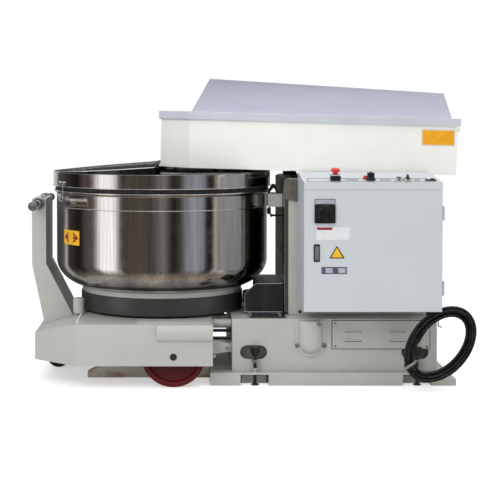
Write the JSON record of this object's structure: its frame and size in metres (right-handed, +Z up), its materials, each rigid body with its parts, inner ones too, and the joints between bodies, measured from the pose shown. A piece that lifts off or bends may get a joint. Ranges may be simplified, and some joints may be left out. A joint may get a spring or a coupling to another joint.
{
  "type": "spiral dough mixer",
  "caption": "Floor-standing spiral dough mixer: tilting head over a wheeled bowl trolley, driven bowl, lifting ram and a hinged control cabinet.",
  "frame": {"origin": "on the floor under the middle of the base plinth, on the machine's centre plane", "axes": "+X from the trolley and bowl towards the back of the machine, +Y towards the far side from the control cabinet, +Z up"},
  "size_m": [1.962, 1.215, 1.3604],
  "materials": {
    "cream_paint": "semi-gloss light grey cream paint on sheet and plate",
    "head_paint": "semi-gloss off-white paint",
    "cabinet_paint": "fine textured pale grey powder coat",
    "mirror_steel": "polished stainless steel",
    "satin_steel": "satin stainless sheet",
    "dark_steel": "dark polished plate",
    "ring_black": "dark grey painted ring",
    "raw_steel": "bare machined steel, lightly stained",
    "chrome": "bright chrome",
    "cast_iron": "machined cast iron",
    "black_rubber": "black rubber",
    "black_gloss": "black gloss",
    "black_paint": "black enamel on a cast handwheel",
    "black_plastic": "black moulded plastic",
    "red_wheel": "dark red paint",
    "red_plastic": "red moulded plastic",
    "motor_grey": "grey enamel"
  },
  "bodies": {
    "root": {"base_plinth": "cream_paint", "base_housing": "cream_paint", "bell_cover": "cream_paint", "louvre_panel": "cream_paint", "drive_wheel_guard": "dark_steel", "column_housing": "cream_paint", "column_front_plate": "mirror_steel", "head_pivot_shaft": "raw_steel", "bowl_guide_bracket": "cream_paint", "bowl_drive_motor": "motor_grey", "hydraulic_power_pack": "motor_grey", "guide_rail_near": "raw_steel", "guide_rail_far": "raw_steel", "trolley_frame": "cream_paint", "trolley_axle": "raw_steel", "handle_post": "cream_paint", "push_bar": "chrome", "turntable_bearing": "cast_iron", "cabinet_box": "cabinet_paint", "control_console": "cabinet_paint", "electrical_panel": "motor_grey", "cable_gland": "black_plastic", "cable_lead": "black_rubber", "cable_coil": "black_rubber"},
    "levelling_bolt_front_near": {"levelling_bolt_front_near": "black_paint"},
    "levelling_bolt_front_far": {"levelling_bolt_front_far": "black_paint"},
    "levelling_bolt_rear_near": {"levelling_bolt_rear_near": "black_paint"},
    "levelling_bolt_rear_far": {"levelling_bolt_rear_far": "black_paint"},
    "wheel_near": {"trolley_wheel_near": "red_wheel"},
    "wheel_far": {"trolley_wheel_far": "red_wheel"},
    "caster": {"caster_fork": "dark_steel"},
    "caster_roller": {"caster_wheel": "black_rubber"},
    "hook": {"latch_hook": "raw_steel"},
    "bowl": {"mixing_bowl": "mirror_steel", "bowl_base_ring": "cream_paint", "bowl_drive_ring": "ring_black"},
    "drive_wheel": {"bowl_drive_wheel": "black_rubber"},
    "head": {"head_body": "head_paint", "head_base_plate": "head_paint", "head_hood": "satin_steel", "spiral_motor": "motor_grey", "drive_belt": "black_rubber", "bowl_cover_ring": "mirror_steel", "ring_seal": "black_rubber", "bowl_cover_plate": "dark_steel", "lid_hinge_rod": "dark_steel", "dough_breaker_bar": "mirror_steel"},
    "lift_cylinder": {"lift_barrel": "motor_grey"},
    "lift_piston": {"lift_rod": "chrome"},
    "spiral": {"spiral_tool": "mirror_steel", "spiral_pulley": "cast_iron"},
    "motor_shaft": {"motor_pulley": "cast_iron"},
    "lid": {"bowl_lid": "black_gloss"},
    "door": {"cabinet_door": "cabinet_paint"},
    "main_switch": {"main_switch_knob": "black_plastic"},
    "door_latch": {"door_latch_lever": "motor_grey"},
    "stop_button": {"emergency_stop": "red_plastic"},
    "timer": {"timer_knob": "black_plastic"},
    "start": {"start_button": "black_plastic"},
    "mode": {"mode_selector": "black_plastic"}
  },
  "joints": [
    {"name": "head_tilt", "type": "hinge", "parent": "root", "child": "head", "pos_m": [0.49, 0, 0.86], "axis": [0, 1, 0], "range_deg": [0, 45]},
    {"name": "lift_swing", "type": "hinge", "parent": "root", "child": "lift_cylinder", "pos_m": [0.06, 0, 0.14], "axis": [0, 1, 0], "range_deg": [0, 5]},
    {"name": "lift_extend", "type": "slide", "parent": "lift_cylinder", "child": "lift_piston", "axis": [0.1316, 0, 0.9913], "range_m": [0, 0.246]},
    {"name": "spiral_spin", "type": "hinge", "parent": "head", "child": "spiral", "pos_m": [-0.325, 0, 0.9], "axis": [0, 0, 1], "continuous": true},
    {"name": "motor_pulley_spin", "type": "hinge", "parent": "head", "child": "motor_shaft", "pos_m": [0.25, 0, 1.02], "axis": [0, 0, 1], "continuous": true},
    {"name": "bowl_spin", "type": "hinge", "parent": "root", "child": "bowl", "pos_m": [-0.6, 0, 0.33], "axis": [0, 0, 1], "continuous": true},
    {"name": "drive_wheel_spin", "type": "hinge", "parent": "root", "child": "drive_wheel", "pos_m": [-0.1394, 0, 0.33], "axis": [0, 0, 1], "continuous": true},
    {"name": "wheel_near_roll", "type": "hinge", "parent": "root", "child": "wheel_near", "pos_m": [-0.542, -0.45, 0.142], "axis": [0, 1, 0], "continuous": true},
    {"name": "wheel_far_roll", "type": "hinge", "parent": "root", "child": "wheel_far", "pos_m": [-0.542, 0.45, 0.142], "axis": [0, 1, 0], "continuous": true},
    {"name": "caster_swivel", "type": "hinge", "parent": "root", "child": "caster", "pos_m": [-1.064, 0, 0.12], "axis": [0, 0, 1], "continuous": true},
    {"name": "caster_roll", "type": "hinge", "parent": "caster", "child": "caster_roller", "pos_m": [-1.089, 0, 0.055], "axis": [0, 1, 0], "continuous": true},
    {"name": "lid_lift", "type": "hinge", "parent": "head", "child": "lid", "pos_m": [-0.616, 0, 0.966], "axis": [0, 1, 0], "range_deg": [0, 85]},
    {"name": "hook_lift", "type": "hinge", "parent": "root", "child": "hook", "pos_m": [-0.301, -0.393, 0.158], "axis": [0, 1, 0], "range_deg": [0, 60]},
    {"name": "door_open", "type": "hinge", "parent": "root", "child": "door", "pos_m": [0.609, -0.609, 0.6], "axis": [0, 0, 1], "range_deg": [0, 105]},
    {"name": "main_switch_turn", "type": "hinge", "parent": "door", "child": "main_switch", "pos_m": [0.102, -0.634, 0.773], "axis": [0, 1, 0], "range_deg": [0, 90]},
    {"name": "door_latch_pull", "type": "hinge", "parent": "door", "child": "door_latch", "pos_m": [0.068, -0.62625, 0.629], "axis": [-1, 0, 0], "range_deg": [0, 40]},
    {"name": "stop_press", "type": "slide", "parent": "root", "child": "stop_button", "axis": [0, 0.1129, -0.9936], "range_m": [0, 0.006]},
    {"name": "start_press", "type": "slide", "parent": "root", "child": "start", "axis": [0, 0.1129, -0.9936], "range_m": [0, 0.004], "stiffness_N_per_m": 700},
    {"name": "timer_turn", "type": "hinge", "parent": "root", "child": "timer", "pos_m": [0.305, -0.56, 0.90882], "axis": [0, -0.1129, 0.9936], "range_deg": [-150, 150]},
    {"name": "mode_turn", "type": "hinge", "parent": "root", "child": "mode", "pos_m": [0.463, -0.56, 0.90882], "axis": [0, -0.1129, 0.9936], "range_deg": [-45, 45]},
    {"name": "levelling_front_near", "type": "slide", "parent": "root", "child": "levelling_bolt_front_near", "axis": [0, 0, 1], "range_m": [0, 0.035]},
    {"name": "levelling_front_far", "type": "slide", "parent": "root", "child": "levelling_bolt_front_far", "axis": [0, 0, 1], "range_m": [0, 0.035]},
    {"name": "levelling_rear_near", "type": "slide", "parent": "root", "child": "levelling_bolt_rear_near", "axis": [0, 0, 1], "range_m": [0, 0.035]},
    {"name": "levelling_rear_far", "type": "slide", "parent": "root", "child": "levelling_bolt_rear_far", "axis": [0, 0, 1], "range_m": [0, 0.035]}
  ],
  "couplings": [
    {"joint": "lift_swing", "follows": "head_tilt", "ratio": 0.097},
    {"joint": "lift_extend", "follows": "head_tilt", "m_per_rad": 0.313},
    {"joint": "motor_pulley_spin", "follows": "spiral_spin", "ratio": 3.8},
    {"joint": "drive_wheel_spin", "follows": "bowl_spin", "ratio": -4.75}
  ]
}
